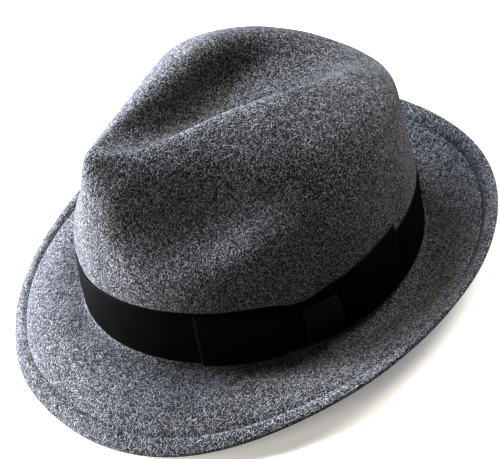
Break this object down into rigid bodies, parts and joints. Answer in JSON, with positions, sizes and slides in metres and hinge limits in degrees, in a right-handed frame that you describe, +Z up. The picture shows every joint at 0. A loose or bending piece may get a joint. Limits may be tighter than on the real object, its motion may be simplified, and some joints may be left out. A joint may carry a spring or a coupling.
{
  "type": "felt fedora hat",
  "caption": "Short-brimmed felt fedora with a creased, pinched teardrop crown, a ribbon band and a flat side bow; the brim dips in front and curls up behind.",
  "frame": {"origin": "on the ground, at the centre of the hat's outline seen from above", "axes": "+Z up, the front of the hat faces -Y, the wearer's left with the bow is +X; the hat sits on the ground, leaned back 5.8 degrees on the back of the brim's break and the front edge of the brim"},
  "size_m": [0.2648, 0.2918, 0.1282],
  "materials": {
    "felt": "marled grey wool felt, matt with a fine nap",
    "band_ribbon": "black grosgrain ribbon with fine upright ribs, low sheen",
    "bow_ribbon": "black grosgrain ribbon, doubled, low sheen",
    "knot_ribbon": "black grosgrain ribbon, ribs lying across, low sheen"
  },
  "bodies": {
    "root": {"felt_body": "felt", "hat_band": "band_ribbon", "bow_ribbon": "bow_ribbon", "bow_knot": "knot_ribbon"}
  },
  "joints": []
}
